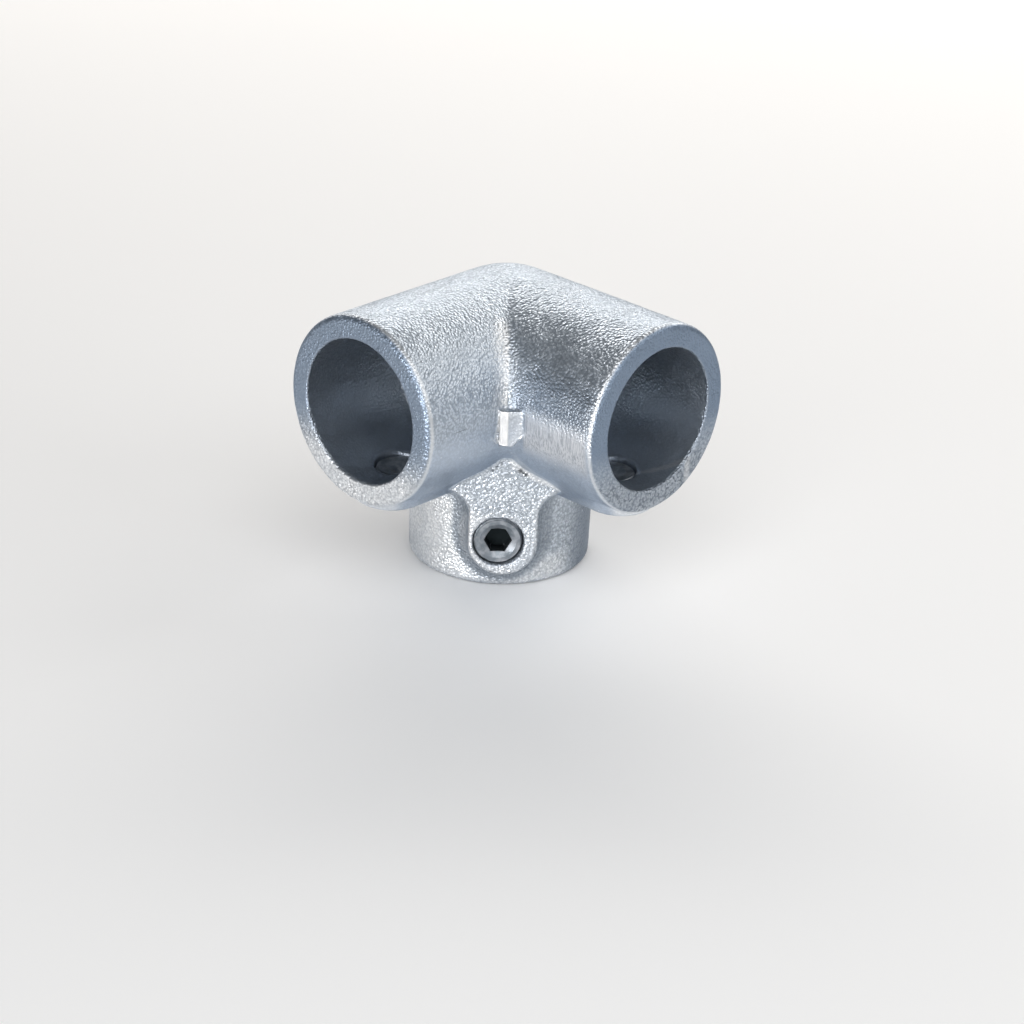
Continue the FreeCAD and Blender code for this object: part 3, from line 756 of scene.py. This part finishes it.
# The hexagon key is darkened towards its floor: painted shade.
steel_colour = mixed(tree, mark(tree, "recess_shade"), steel_colour, key_shade_black)
steel_bump = add_node(tree, "Bump", {"Height": noise(tree, place, 2200, 2), "Distance": 0.06 * MM})
tree.links.new(steel_colour, shader.inputs["Base Color"])
tree.links.new(finish["Roughness"], shader.inputs["Roughness"])
tree.links.new(steel_bump.outputs["Normal"], shader.inputs["Normal"])
shader.inputs["Metallic"].default_value = 0.9

screw_joints = {joint["child"]: joint for joint in frame["record"]["behaviour"]["joints"]}
screw_shape = screw_grid(screw_length) * MM - np.array([0, 0, screw_length / 2 * MM])
for body in ("upright_screw", "right_rail_screw", "left_rail_screw"):
    node = frame["record"]["behaviour"]["bodies"][body][0]
    low, high = (np.array(corner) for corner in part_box(node))
    outward = -np.array(screw_joints[body]["axis"])
    side = np.cross(outward, (0, 0, 1)) if abs(outward[2]) < 0.5 else np.array([1.0, 0.0, 0.0])
    other = np.cross(outward, side)
    middle = (low + high) / 2
    grid = screw_shape[..., :1] * side + screw_shape[..., 1:2] * other + screw_shape[..., 2:] * outward
    mesh = closed_grid_mesh(node + "_dressed", grid + middle)
    points = positions(mesh)
    height = (points - middle) @ outward / MM + screw_length / 2
    axis_gap = np.linalg.norm(np.cross(points - middle, outward), axis=1) / MM
    # Painted shade: how deep a point lies inside the hexagon key.
    key_shade_mark = fade(screw_length - height, *key_dark_top) * (1 - fade(axis_gap, *key_dark_side))
    set_mark(mesh, "recess_shade", key_shade_mark * fade(height, *key_dark_foot))
    mesh.materials.append(screw_steel)
    screw = bpy.data.objects.new(node + "_dressed", mesh)
    bpy.context.scene.collection.objects.link(screw)
    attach(screw, body)
    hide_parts(node)

# The floor: a plain pale matt board, far wider than the view, that the connector stands on.
# It lies a hair below the upright socket's mouth, so that the two faces never share a plane.
floor_half = 3.0
floor_gap = 0.2 * MM
floor_white, floor_roughness = (0.97, 0.97, 0.97, 1), 0.9
floor_corners = [(-1, -1), (1, -1), (1, 1), (-1, 1)]
floor_mesh = bpy.data.meshes.new("floor")
floor_points = [(floor_half * x, floor_half * y, -floor_gap) for x, y in floor_corners]
floor_mesh.from_pydata(floor_points, [], [(0, 1, 2, 3)])
floor = bpy.data.objects.new("floor", floor_mesh)
bpy.context.scene.collection.objects.link(floor)
pale = bpy.data.materials.new("pale_floor")
pale.use_nodes = True
shader = pale.node_tree.nodes["Principled BSDF"]
shader.inputs["Base Color"].default_value = floor_white
shader.inputs["Roughness"].default_value = floor_roughness
floor_mesh.materials.append(pale)

# The studio: soft lamps behind on the right, on the right and high in front, a low strip in front on the
# left and a long warm strip behind, all turned to the work point, in a dim and slightly blue room.
room_colour, room_strength = (0.86, 0.92, 1.0, 1), 0.14
world = bpy.data.worlds.new("studio")
bpy.context.scene.world = world
world.use_nodes = True
room = world.node_tree.nodes["Background"]
room.inputs["Color"].default_value = room_colour
room.inputs["Strength"].default_value = room_strength
lamps = (
    ("key_lamp", (0.54, 1.02, 0.99), (1.1, 0.8), 4.6, (1.0, 0.98, 0.95)),
    ("right_lamp", (1.36, 0.30, 0.75), (1.0, 0.8), 4.3, (1.0, 1.0, 1.0)),
    ("front_lamp", (0.82, -0.88, 1.30), (1.6, 1.2), 13.0, (1.0, 1.0, 1.0)),
    ("low_lamp", (0.30, -1.36, 0.08), (1.2, 0.14), 11.0, (1.0, 1.0, 1.0)),
    ("back_lamp", (-0.99, 1.06, 0.84), (2.4, 0.5), 20.0, (1.0, 0.95, 0.89)),
)
for name, spot, (width, tall), power, tint in lamps:
    lamp = bpy.data.lights.new(name, "AREA")
    lamp.shape = "RECTANGLE"
    lamp.size, lamp.size_y = width, tall
    lamp.energy = power
    lamp.color = tint
    lamp_object = bpy.data.objects.new(name, lamp)
    bpy.context.scene.collection.objects.link(lamp_object)
    lamp_object.location = spot
    lamp_object.visible_camera = False
    aim = Vector(work_point) - lamp_object.location
    lamp_object.rotation_euler = aim.to_track_quat("-Z", "Y").to_euler()

# The camera: a long lens that looks down on the inside corner, as in the photograph.
# Its place, its turn and its lens come from fitting the edges of the casting to the photograph.
view_place = (682.8 * MM, -734.4 * MM, 484.4 * MM)
view_tilt, view_roll, view_heading = 64.83, -2.15, 43.68
view_lens, view_sensor = 110.75, 36.0
camera_data = bpy.data.cameras.new("camera")
camera_data.lens = view_lens
camera_data.sensor_width = view_sensor
camera = bpy.data.objects.new("camera", camera_data)
camera.location = view_place
camera.rotation_euler = (radians(view_tilt), radians(view_roll), radians(view_heading))
bpy.context.scene.collection.objects.link(camera)
bpy.context.scene.camera = camera
bpy.context.scene.view_settings.view_transform = "Standard"
